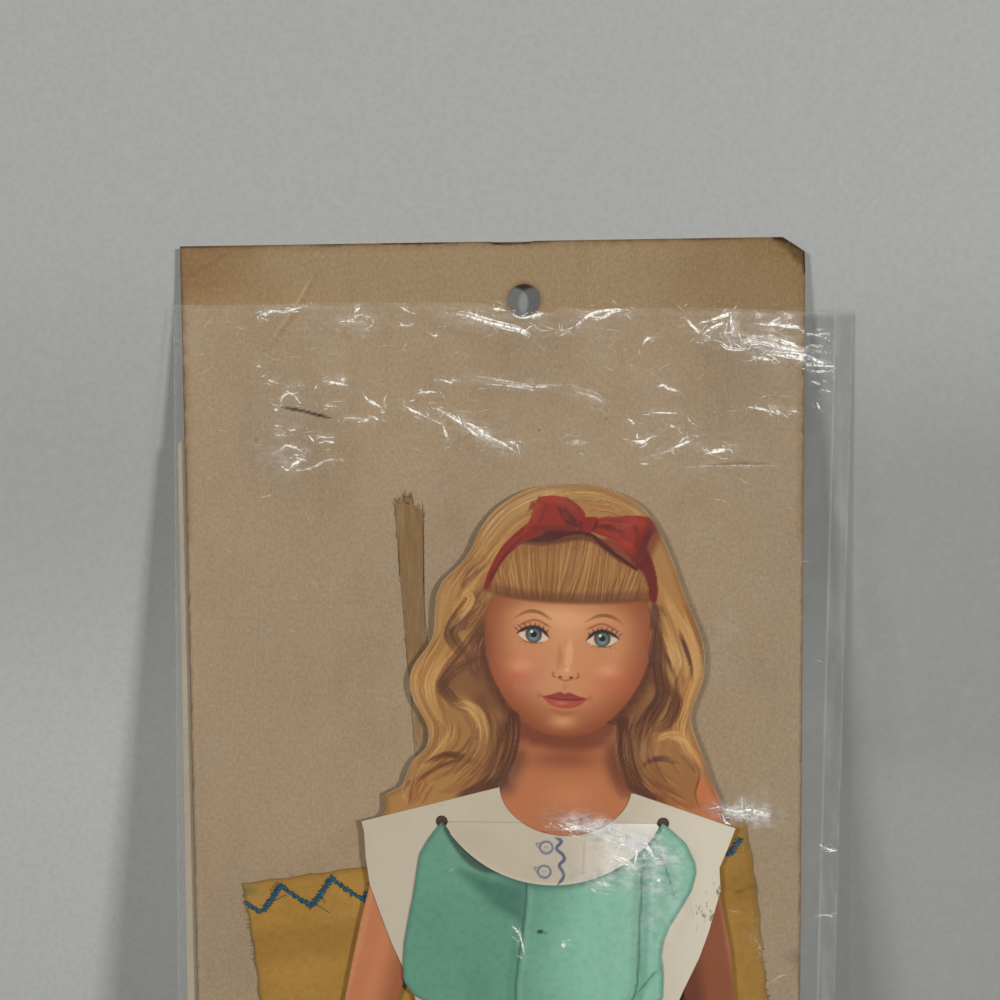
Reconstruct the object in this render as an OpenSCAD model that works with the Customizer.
// Carded paper doll in a clear film sleeve, hanging from its punched hole.
// Millimetres. +Z is up, the doll faces -Y, and the origin is the centre of the
// hang hole on the back face of the backing card.

/* [Backing card] */
// Width of the backing card
card_w = 152.4; // [145:0.1:170]
// Height of the backing card
card_h = 368.3; // [330:0.1:400]
// Thickness of the backing card
card_t = 1.2; // [0.8:0.1:1.6]
// Diameter of the punched hang hole
hang_hole_d = 7.94; // [5:0.01:9]
// Distance from the card's left edge to the hang hole
hole_from_left = 84.7; // [80:0.1:86]
// Distance from the card's top edge to the hang hole
hole_from_top = 14.3; // [10:0.1:20]
// Width of the worn top right corner
worn_corner_w = 5.4; // [1:0.1:10]
// Height of the worn top right corner
worn_corner_h = 7.9; // [1:0.1:12]
// Width of the worn dent in the top edge
dent_w = 11.4; // [4:0.1:20]
// Depth of the worn dent in the top edge
dent_depth = 0.6; // [0.1:0.1:1.5]

/* [Tape strip] */
// Width of the tape strip
tape_w = 7.6; // [4:0.1:12]
// Length of the tape strip
tape_l = 74; // [40:1:100]
// Thickness of the tape strip
tape_t = 0.1; // [0.05:0.01:0.2]
// Lean of the tape strip, in degrees
tape_lean = 1.8; // [0:0.1:6]
// Distance from the hang hole down to the tape strip
tape_below_hole = 48; // [30:1:80]
// Distance of the tape strip's top corner left of the hang hole
tape_left_of_hole = 32.6; // [20:0.1:50]

/* [Insert card] */
// Width of the insert card
insert_w = 150; // [120:0.5:155]
// Height of the insert card
insert_h = 322.5; // [200:0.5:340]
// Thickness of the insert card
insert_t = 0.45; // [0.2:0.05:0.5]
// Corner radius of the insert card
insert_corner_r = 2; // [0.5:0.1:5]
// Lean of the insert card inside the sleeve, in degrees
insert_lean = 0.65; // [0:0.05:1]

/* [Film sleeve] */
// Room beside the card inside the leaning sleeve
sleeve_side_room = 2.67; // [2:0.01:6]
// Room under the doll's shoes inside the sleeve
sleeve_foot_room = 0.3; // [0.2:0.1:8]
// Thickness of the film
film_t = 0.1; // [0.05:0.01:0.15]
// Lean of the sleeve on the card, in degrees
sleeve_lean = 1; // [0:0.1:2]
// Depth of the pocket in front of the card
pocket_depth = 8.1; // [8:0.1:12]
// Width of the side seal
side_seal_w = 4.5; // [2:0.1:8]
// Width of the bottom seal
bottom_seal_w = 4; // [2:0.1:8]
// Distance from the hang hole down to the mouth of the sleeve
mouth_below_hole = 2.1; // [0:0.1:3.5]
// Clearance of the film's notch round the hang hole
notch_clearance = 0.6; // [0.2:0.1:1.5]

/* [Doll] */
// Height of the doll's head with its hair
head_h = 68; // [60:0.5:68]
// Distance of the doll's centre line right of the hang hole
doll_right_of_hole = 5.5; // [0:0.1:10]
// Distance from the hang hole down to the doll's crown
crown_below_hole = 44.9; // [40:0.1:45]
// Thickness of the doll's board
board_t = 1.2; // [0.6:0.1:1.5]
// Thickness of the printed paper on the doll's front
print_t = 0.15; // [0.08:0.01:0.25]
// Thickness of the paper on the doll's back
back_paper_t = 0.1; // [0.08:0.01:0.2]

/* [Dress] */
// Thickness of the dress sheet
dress_t = 0.35; // [0.2:0.05:0.5]
// Distance between the relief holes at the collar's ends
collar_w = 54.7; // [48:0.1:56]
// Drop of the collar's slit below its relief holes
collar_drop = 15.1; // [14:0.1:18]
// Diameter of the relief holes
relief_hole_d = 3; // [1:0.1:4]
// Angle at which the collar stands off the doll, in degrees
collar_stand = 9; // [9:0.1:10]
// Length of the waist band
band_l = 60; // [50:0.5:62]
// Height of the waist band
band_h = 6.5; // [4:0.1:8]

/* [Cloth] */
// Thickness of both cloths
cloth_t = 0.35; // [0.2:0.05:0.4]
// Height of the teal cloth's pleats
pleat_h = 1.1; // [0.4:0.1:1.2]
// Width of the yellow cloth
yellow_w = 127.5; // [110:0.5:130]
// Height of the yellow cloth
yellow_h = 85; // [60:1:90]
// Lean of the yellow cloth, in degrees
yellow_lean = 7.9; // [4:0.1:9]
// Distance of the yellow cloth's top left corner left of the hang hole
yellow_left_of_hole = 72.5; // [66:0.1:76]
// Distance from the hang hole down to the yellow cloth's top left corner
yellow_below_hole = 145.5; // [130:0.5:160]
// Thickness of the zigzag trim
trim_t = 0.2; // [0.1:0.05:0.3]
// Width of the zigzag trim's line
trim_line_w = 1.5; // [0.8:0.1:2.5]
// Length of one wave of the zigzag trim
trim_pitch = 13; // [8:0.5:20]
// Height of the zigzag trim's waves
trim_wave_h = 6.3; // [3:0.1:9]

/* [Hidden] */
$fn = 96;

// Clearance between sheets that slide on each other
slide_gap = 0.15;
// Overrun of every cut
overrun = 1;
// Width of the cut round the collar flap
slit_w = 0.12;

// Edges of the backing card
card_left = -hole_from_left;
card_right = card_left + card_w;
card_top = hole_from_top;
card_bottom = card_top - card_h;

// Faces of the layers from the card forwards, each named for the side it is on
card_front = -card_t;
tape_front = card_front - tape_t;
yellow_back = tape_front - slide_gap;
yellow_front = yellow_back - cloth_t;
trim_front = yellow_front - trim_t;
doll_back = trim_front - slide_gap;
board_back = doll_back - back_paper_t;
print_back = board_back - board_t;
print_front = print_back - print_t;
dress_front = print_front - dress_t;
teal_back = dress_front - slide_gap;
teal_front = teal_back - cloth_t;
pocket_front = card_front - pocket_depth;

// Faces behind the card
insert_front = slide_gap + slide_gap / 3;
insert_back = insert_front + insert_t;
pocket_back = insert_back + slide_gap + slide_gap / 3;

// Sides of the sleeve in its own leaning frame: the card leans in it from side to
// side, and the share says how much of the room lies left of the card at the hole
sleeve_left_share = 0.71;
sleeve_left = card_left - sleeve_side_room * sleeve_left_share;
seal_left = sleeve_left + card_w + sleeve_side_room + card_h * sin(sleeve_lean);
sleeve_right = seal_left + side_seal_w;
mouth = -mouth_below_hole;

// Depths of the film's front along its width: share of the width from the fold to
// the side seal, then share of the pocket's depth
pocket_shares = [[0.012, 0.06], [0.09, 0.27], [0.276, 1], [0.82, 1], [0.96, 0.5],
    [0.998, 0.08]];
// Slope of the sleeve's bottom, as a share of the pocket's depth
bottom_slope_share = 0.35;

// Places on the doll are [right of the centre line, below the crown], as shares of
// the height of its head
function on_doll(p) = [doll_right_of_hole + p[0] * head_h, -crown_below_hole - p[1] * head_h];
function all_on_doll(list) = [for (p = list) on_doll(p)];

// Waved outline of the hair, from the left shoulder over the crown
hair_shares = [[-0.42, 1.20], [-0.528, 1.17], [-0.531, 1.09], [-0.50, 1.01], [-0.45, 0.96],
    [-0.437, 0.90], [-0.454, 0.85], [-0.493, 0.78], [-0.506, 0.71], [-0.487, 0.65],
    [-0.443, 0.59], [-0.416, 0.54], [-0.410, 0.46], [-0.404, 0.40], [-0.375, 0.34],
    [-0.316, 0.284], [-0.276, 0.23], [-0.247, 0.165], [-0.20, 0.10], [-0.14, 0.05],
    [-0.062, 0.013], [0.025, 0], [0.138, 0], [0.232, 0.02], [0.319, 0.063],
    [0.379, 0.13], [0.421, 0.21], [0.451, 0.285], [0.482, 0.375], [0.516, 0.46],
    [0.55, 0.546], [0.563, 0.625], [0.555, 0.71], [0.525, 0.79], [0.513, 0.854],
    [0.534, 0.925], [0.562, 0.995], [0.587, 1.075], [0.613, 1.14], [0.60, 1.19],
    [0.45, 1.22], [0, 1.24]];
// Neck, shoulders and trunk down to the hem of the slip, on the right side
trunk_shares = [[0.16, 0.95], [0.30, 1.07], [0.50, 1.08], [0.60, 1.13], [0.60, 1.24],
    [0.52, 1.40], [0.43, 1.62], [0.37, 1.86], [0.345, 2.06], [0.40, 2.30], [0.47, 2.62],
    [0.50, 3.00]];
// Outlines of the arms, from the shoulder down the outside and back up inside
left_arm_shares = [[-0.40, 1.10], [-0.51, 1.07], [-0.57, 1.15], [-0.625, 1.23],
    [-0.652, 1.34], [-0.66, 1.46], [-0.70, 1.62], [-0.76, 1.90], [-0.795, 2.08],
    [-0.81, 2.28], [-0.80, 2.50], [-0.83, 2.62], [-0.82, 2.77], [-0.765, 2.86],
    [-0.705, 2.83], [-0.68, 2.71], [-0.695, 2.52], [-0.67, 2.30], [-0.635, 2.10],
    [-0.565, 1.91], [-0.485, 1.66], [-0.43, 1.45], [-0.36, 1.24]];
right_arm_shares = [[0.40, 1.12], [0.52, 1.05], [0.60, 1.11], [0.628, 1.18], [0.632, 1.26],
    [0.618, 1.37], [0.62, 1.50], [0.656, 1.70], [0.672, 1.88], [0.70, 2.07], [0.70, 2.28],
    [0.685, 2.50], [0.715, 2.62], [0.70, 2.77], [0.64, 2.86], [0.585, 2.82], [0.565, 2.70],
    [0.58, 2.51], [0.56, 2.29], [0.53, 2.09], [0.495, 1.90], [0.455, 1.66], [0.42, 1.45],
    [0.36, 1.24]];
// Outline of the right leg and shoe; the left one is its mirror image
leg_shares = [[0.44, 2.90], [0.43, 3.15], [0.385, 3.38], [0.355, 3.52], [0.36, 3.72],
    [0.345, 3.90], [0.285, 4.16], [0.275, 4.28], [0.30, 4.38], [0.36, 4.46], [0.385, 4.53],
    [0.34, 4.572], [0.22, 4.575], [0.12, 4.572], [0.085, 4.52], [0.10, 4.40],
    [0.125, 4.26], [0.105, 4.06], [0.065, 3.78], [0.06, 3.52], [0.035, 3.30], [0.02, 2.90]];

// Outline of the dress sheet down its left side and up its right side; the neckline
// is cut out of its top edge
dress_shares = [[-0.18, 1.10], [-0.687, 1.231], [-0.678, 1.27], [-0.674, 1.36],
    [-0.66, 1.465], [-0.62, 1.58], [-0.58, 1.69], [-0.544, 1.77], [-0.50, 1.88],
    [-0.475, 2.0], [-0.475, 2.13], [-0.52, 2.35], [-0.61, 2.8], [-0.68, 3.2],
    [-0.66, 3.25], [-0.35, 3.30], [0, 3.32], [0.35, 3.30], [0.66, 3.25], [0.68, 3.2],
    [0.61, 2.8], [0.52, 2.35], [0.475, 2.13], [0.47, 2.0], [0.472, 1.88], [0.487, 1.845],
    [0.543, 1.725], [0.578, 1.625], [0.619, 1.475], [0.615, 1.39], [0.646, 1.315],
    [0.672, 1.244], [0.31, 1.12]];
// Neckline: an ellipse's middle and its half axes
neck_middle_share = [0.06, 1.095];
neck_half_w_share = 0.24;
neck_half_h_share = 0.18;
// Height of the line through the collar's relief holes
collar_line_share = 1.228;
// Height of the middle of the waist band
band_line_share = 2.09;

// Edges of the teal cloth, as pairs of height and place across
teal_left_shares = [[1.225, -0.39], [1.296, -0.444], [1.351, -0.475], [1.426, -0.487],
    [1.512, -0.501], [1.60, -0.519], [1.685, -0.535], [1.757, -0.54], [1.825, -0.538],
    [1.88, -0.50], [1.94, -0.385], [2.0, -0.335], [2.14, -0.335], [2.25, -0.38],
    [2.45, -0.45], [2.8, -0.545], [3.15, -0.62], [3.4, -0.65]];
teal_right_shares = [[1.225, 0.41], [1.259, 0.45], [1.30, 0.494], [1.369, 0.526],
    [1.406, 0.531], [1.474, 0.513], [1.54, 0.476], [1.607, 0.435], [1.663, 0.413],
    [1.724, 0.404], [1.79, 0.413], [1.875, 0.41], [1.94, 0.365], [2.0, 0.335],
    [2.14, 0.335], [2.25, 0.38], [2.45, 0.45], [2.8, 0.545], [3.15, 0.62], [3.4, 0.65]];
teal_hem_share = 3.30;
// The box pleat's left and right fold lines, as pairs of height and place across
left_fold_shares = [[1.45, -0.083], [1.64, -0.10], [1.88, -0.127], [2.09, -0.10],
    [3.3, -0.24]];
right_fold_shares = [[1.45, 0.334], [1.63, 0.325], [1.87, 0.306], [2.09, 0.18],
    [3.3, 0.40]];
// Height of the pleats down the cloth, as pairs of height and share of pleat_h
pleat_shares = [[1.32, 0], [1.45, 0.72], [1.60, 1], [1.80, 1], [1.95, 0.35], [1.99, 0.3],
    [2.20, 0.3], [2.40, 0.8], [3.3, 1]];

// Lowest point of the sleeve's inside, in its own frame: the doll's shoes or the
// card's corner stand on it, whichever reaches lower
sole_share = 4.58;
seal_y = card_front / 2;
function depth_in_sleeve(x, z) = x * sin(sleeve_lean) + z * cos(sleeve_lean);
doll_foot = depth_in_sleeve(on_doll([-0.38, sole_share])[0], on_doll([-0.38, sole_share])[1])
    - (seal_y - film_t - print_front) * bottom_slope_share;
card_foot = depth_in_sleeve(card_left, card_bottom);
sleeve_keel = min(doll_foot, card_foot) - sleeve_foot_room - film_t;
sleeve_l = mouth - sleeve_keel;

// Smooth curve through the points of a list, closed on itself
function curve_point(a, b, c, d, t) = (2 * b + (c - a) * t + (2 * a - 5 * b + 4 * c - d) * t * t
    + (3 * b - a - 3 * c + d) * t * t * t) / 2;
function smooth(p, steps = 3) = let (n = len(p)) [for (i = [0 : n - 1]) for (k = [0 : steps - 1])
    curve_point(p[(i + n - 1) % n], p[i], p[(i + 1) % n], p[(i + 2) % n], k / steps)];
function mirrored(list) = [for (p = list) [-p[0], p[1]]];
function reversed(list) = [for (i = [len(list) - 1 : -1 : 0]) list[i]];
function between(a, b, t) = a + (b - a) * t;
// Step from 0 to 1 as x passes from a to b
function ramp(a, b, x) = let (t = max(0, min(1, (x - a) / (b - a)))) t * t * (3 - 2 * t);

// Sheet: a flat outline in X and Z made into a plate between two faces
module sheet(front, back) {
    translate([0, back, 0]) rotate([90, 0, 0]) linear_extrude(back - front) children();
}

module rounded_rectangle(w, h, r) {
    union() {
        translate([r, -h]) square([w - 2 * r, h]);
        translate([0, r - h]) square([w, h - 2 * r]);
        for (x = [r, w - r], y = [-r, r - h]) translate([x, y]) circle(r);
    }
}

// Backing card with its worn corner, its dented top edge and its hang hole
dent_middle = card_left + hole_from_left * 0.968;
card_outline = [[card_left, card_bottom], [card_right, card_bottom],
    [card_right, card_top - worn_corner_h],
    [card_right - worn_corner_w * 0.07, card_top - worn_corner_h * 0.65],
    [card_right - worn_corner_w * 0.33, card_top - worn_corner_h * 0.3],
    [card_right - worn_corner_w, card_top],
    [dent_middle + dent_w / 2, card_top], [dent_middle + dent_w / 8, card_top - dent_depth],
    [dent_middle - dent_w / 4, card_top - dent_depth * 0.7],
    [dent_middle - dent_w / 2, card_top], [card_left, card_top]];
module backing_card() {
    color("tan") difference() {
        sheet(card_front, 0) polygon(card_outline);
        translate([0, overrun, 0]) rotate([90, 0, 0])
            cylinder(h = card_t + 2 * overrun, d = hang_hole_d);
    }
}

// Tape strip with a frayed top end
fray_shares = [[0, 0], [0.12, 0.5], [0.2, 0.1], [0.33, 0.9], [0.42, 0.3], [0.55, 1],
    [0.68, 0.2], [0.8, 0.6], [0.9, 0], [1, 0.4]];
fray_h = 2.2;
module tape_strip() {
    color("peru") sheet(tape_front, card_front)
        translate([-tape_left_of_hole, -tape_below_hole]) rotate(tape_lean)
        polygon(concat([for (p = fray_shares) [p[0] * tape_w, p[1] * fray_h]],
            [[tape_w, -tape_l], [0, -tape_l]]));
}

// Insert card: stands on the sleeve's bottom, leaning on its folded edge
module insert_card() {
    side_room = 3 * film_t;
    left = sleeve_left + film_t + side_room + insert_h * sin(insert_lean);
    foot = sleeve_keel + film_t + (insert_back - seal_y) * bottom_slope_share
        + sleeve_foot_room;
    color("antiquewhite") rotate([0, sleeve_lean, 0]) sheet(insert_front, insert_back)
        translate([left, foot]) rotate(insert_lean) translate([0, insert_h])
        rounded_rectangle(insert_w, insert_h, insert_corner_r);
}

// Film sleeve: a tube along its leaning axis with one folded edge, one sealed edge
// and a bottom that slopes to its seal
function film_outline(t) = concat(
    [[sleeve_left + t, pocket_back - t], [sleeve_left + t, card_front * 0.75]],
    [for (p = pocket_shares) [between(sleeve_left, seal_left, p[0]),
        between(card_front - film_t, pocket_front - film_t, p[1]) + t]],
    [[seal_left - t, seal_y - film_t + t], [seal_left - t, seal_y + film_t - t],
        [seal_left - (pocket_back - seal_y) - t, pocket_back - t]]);
module tube(wall) {
    translate([0, 0, sleeve_keel - overrun]) linear_extrude(sleeve_l + 2 * overrun)
        polygon(film_outline(wall));
}
module keel(wall, top) {
    slope = bottom_slope_share;
    depth = pocket_depth + overrun;
    translate([sleeve_left - overrun, 0, 0]) rotate([90, 0, 90])
        linear_extrude(sleeve_right - sleeve_left + 2 * overrun)
        polygon([[seal_y - depth, top], [seal_y - depth, sleeve_keel + wall + depth * slope],
            [seal_y - film_t, sleeve_keel + wall], [seal_y + film_t, sleeve_keel + wall],
            [seal_y + depth, sleeve_keel + wall + depth * slope], [seal_y + depth, top]]);
}
module film_shell() {
    difference() {
        intersection() {
            tube(0);
            keel(0, mouth);
        }
        intersection() {
            tube(film_t);
            keel(film_t, mouth + overrun);
        }
        rotate([90, 0, 0]) cylinder(h = 2 * pocket_depth + 4 * overrun,
            d = hang_hole_d + 2 * notch_clearance, center = true);
    }
}
// The part of the shell that is the back wall
module back_wall_region(grow) {
    wall_line = pocket_back - film_t;
    translate([0, 0, sleeve_keel - bottom_seal_w]) linear_extrude(sleeve_l + bottom_seal_w + overrun)
        polygon([[sleeve_left - overrun, wall_line],
            [seal_left - (pocket_back - seal_y) - film_t, wall_line],
            [seal_left - film_t, seal_y], [seal_left + overrun, seal_y],
            [seal_left + overrun, pocket_back + overrun],
            [sleeve_left - overrun, pocket_back + overrun]]);
}
module sleeve_front() {
    color("gainsboro", 0.4) rotate([0, sleeve_lean, 0]) difference() {
        film_shell();
        back_wall_region();
    }
}
module sleeve_back() {
    color("gainsboro", 0.4) rotate([0, sleeve_lean, 0]) intersection() {
        film_shell();
        back_wall_region();
    }
}
module sleeve_side_seal() {
    color("silver", 0.6) rotate([0, sleeve_lean, 0])
        translate([seal_left, seal_y - film_t, sleeve_keel])
        cube([side_seal_w, 2 * film_t, sleeve_l]);
}
module sleeve_bottom_seal() {
    color("silver", 0.6) rotate([0, sleeve_lean, 0])
        translate([sleeve_left, seal_y - film_t, sleeve_keel - bottom_seal_w])
        cube([sleeve_right - sleeve_left, 2 * film_t, bottom_seal_w]);
}

// Doll: one die-cut outline in board, with a printed paper on its front and a plain
// paper on its back
module doll_outline() {
    union() {
        polygon(smooth(all_on_doll(hair_shares)));
        polygon(all_on_doll(concat(trunk_shares, reversed(mirrored(trunk_shares)))));
        for (arm = [reversed(left_arm_shares), right_arm_shares])
            polygon(smooth(all_on_doll(arm)));
        for (leg = [leg_shares, reversed(mirrored(leg_shares))])
            polygon(smooth(all_on_doll(leg)));
    }
}
module doll_board() {
    color("burlywood") sheet(print_back, board_back) doll_outline();
}
module doll_print() {
    color("navajowhite") sheet(print_front, print_back) doll_outline();
}
module doll_back_paper() {
    color("lightgray") sheet(board_back, doll_back) doll_outline();
}

// Dress sheet: its collar is cut free along an arc between two relief holes, and its
// waist band is cut free along two slits, so that cloth tucks behind both
collar_line = on_doll([0, collar_line_share])[1];
collar_x = doll_right_of_hole + 0.0128 * collar_w;
collar_r = (collar_w * collar_w / 4 + collar_drop * collar_drop) / (2 * collar_drop);
band_line = on_doll([0, band_line_share])[1];
module neckline() {
    middle = on_doll(neck_middle_share);
    polygon([for (a = [0 : 6 : 354]) middle
        + [neck_half_w_share * cos(a), neck_half_h_share * sin(a)] * head_h]);
}
module collar_area(slit) {
    intersection() {
        translate([collar_x, collar_line + collar_r - collar_drop]) circle(collar_r - slit);
        translate([collar_x - collar_w, collar_line - slit - 2 * collar_drop])
            square([2 * collar_w, 2 * collar_drop]);
    }
}
module relief_holes() {
    for (side = [-1, 1]) translate([collar_x + side * collar_w / 2, collar_line])
        circle(d = relief_hole_d);
}
// Waist band seen from above: flat feet in the sheet, and a bridge over the cloth
bridge_back = teal_front - pleat_h - slide_gap;
bridge_front = bridge_back - dress_t;
foot_l = band_l / 40;
module waist_band() {
    half = band_l / 2;
    flat = half - foot_l;
    crown = flat - foot_l * 1.5;
    translate([doll_right_of_hole, 0, band_line - band_h / 2]) linear_extrude(band_h)
        polygon([[-half, dress_front], [-flat, dress_front], [-crown, bridge_front],
            [crown, bridge_front], [flat, dress_front], [half, dress_front],
            [half, print_front], [flat, print_front], [crown, bridge_back],
            [-crown, bridge_back], [-flat, print_front], [-half, print_front]]);
}
module dress_sheet() {
    color("ivory") union() {
        sheet(dress_front, print_front) difference() {
            polygon(all_on_doll(dress_shares));
            neckline();
            collar_area(0);
            relief_holes();
            translate([doll_right_of_hole - band_l / 2, band_line - band_h / 2])
                square([band_l, band_h]);
        }
        waist_band();
    }
}
// Collar: hinged along the line through the relief holes, standing off on the cloth
module collar_flap() {
    color("white") translate([0, dress_front, collar_line]) rotate([-collar_stand, 0, 0])
        translate([0, -dress_front, -collar_line])
        sheet(dress_front, print_front) difference() {
            collar_area(slit_w);
            neckline();
            relief_holes();
        }
}

// Teal cloth: tucked behind the collar as far as the collar's stand leaves room, drawn
// in behind the waist band, and flared below it, with a box pleat down its middle and
// gathers in its skirt
tuck_line = collar_line - (print_front - teal_front + slide_gap) / tan(collar_stand);
function teal_x(height, s) = between(lookup(height, teal_left_shares),
    lookup(height, teal_right_shares), s);
function height_share(z) = (-crown_below_hole - z) / head_h;
function gathers(height, s) = ramp(2.15, 2.8, height) * (1 - cos(360 * 5 * s)) / 2;
function pleat(height, s) = let (x = teal_x(height, s), edge = 0.02,
        l = lookup(height, left_fold_shares), r = lookup(height, right_fold_shares),
        panel = ramp(l - edge, l + edge, x) * (1 - ramp(r - edge, r + edge, x)),
        wave = (1 - cos(360 * 3 * s)) / 8)
    lookup(height, pleat_shares)
        * min(1, between(panel * 0.75 + wave, gathers(height, s), ramp(2.2, 2.5, height)));
teal_columns = 24;
teal_rows = 22;
teal_points = [for (front = [1, 0]) for (j = [0 : teal_rows]) for (i = [0 : teal_columns])
    let (s = i / teal_columns,
        hem = on_doll([0, teal_hem_share - 0.02 * cos(360 * 5 * s)])[1],
        z = between(tuck_line, hem, j / teal_rows),
        height = height_share(z))
    [doll_right_of_hole + head_h * teal_x(height, s),
        front == 1 ? teal_front - pleat_h * pleat(height, s) : teal_back, z]];
row_points = teal_columns + 1;
face_points = row_points * (teal_rows + 1);
// Points round the cloth's rim, counted on its front face
teal_rim = concat([for (i = [0 : teal_columns - 1]) i],
    [for (j = [0 : teal_rows - 1]) j * row_points + teal_columns],
    [for (i = [teal_columns : -1 : 1]) teal_rows * row_points + i],
    [for (j = [teal_rows : -1 : 1]) j * row_points]);
teal_faces = concat(
    [for (j = [0 : teal_rows - 1]) for (i = [0 : teal_columns - 1])
        let (a = j * row_points + i, b = a + row_points)
        each [[a, a + 1, b], [a + 1, b + 1, b]]],
    [for (j = [0 : teal_rows - 1]) for (i = [0 : teal_columns - 1])
        let (a = face_points + j * row_points + i, b = a + row_points)
        each [[a, b, a + 1], [a + 1, b, b + 1]]],
    [for (k = [0 : len(teal_rim) - 1])
        let (a = teal_rim[k], b = teal_rim[(k + 1) % len(teal_rim)])
        each [[a, face_points + a, b], [b, face_points + a, face_points + b]]]);
module teal_cloth() {
    color("mediumaquamarine") polyhedron(teal_points, teal_faces);
}

// Yellow cloth behind the doll, with a zigzag trim sewn along its top edge
module on_yellow() {
    translate([-yellow_left_of_hole, -yellow_below_hole]) rotate(yellow_lean) children();
}
edge_wave = 0.5;
module yellow_outline() {
    steps = 24;
    polygon(concat(
        [for (k = [0 : steps]) [yellow_w * k / steps, edge_wave * sin(540 * k / steps)]],
        [for (k = [1 : steps - 1])
            [yellow_w + edge_wave * sin(360 * k / steps), -yellow_h * k / steps]],
        [for (k = [steps : -1 : 0])
            [yellow_w * k / steps, edge_wave * sin(720 * k / steps) - yellow_h]]));
}
module yellow_cloth() {
    color("goldenrod") sheet(yellow_front, yellow_back) on_yellow() yellow_outline();
}
rise_share = 0.4;
trim_inset = 1.3 * trim_line_w;
// Corners of the zigzag, which runs off both ends of the cloth: each wave falls gently
// and rises steeply
zigzag = [for (k = [-1 : ceil(yellow_w / trim_pitch)])
    each [[trim_line_w + (k + 0.6 * rise_share) * trim_pitch, -trim_inset - trim_wave_h],
        [trim_line_w + (k + 1.6 * rise_share) * trim_pitch, -trim_inset]]];
module zigzag_trim() {
    color("steelblue") sheet(trim_front, yellow_front) on_yellow() intersection() {
        yellow_outline();
        union() {
            for (corner = zigzag) translate(corner) circle(d = trim_line_w, $fn = 24);
            for (k = [0 : len(zigzag) - 2]) {
                a = zigzag[k];
                b = zigzag[k + 1];
                translate(a) rotate(atan2(b[1] - a[1], b[0] - a[0]))
                    translate([0, -trim_line_w / 2]) square([norm(b - a), trim_line_w]);
            }
        }
    }
}

backing_card();
tape_strip();
insert_card();
sleeve_front();
sleeve_back();
sleeve_side_seal();
sleeve_bottom_seal();
doll_board();
doll_print();
doll_back_paper();
dress_sheet();
collar_flap();
teal_cloth();
yellow_cloth();
zigzag_trim();
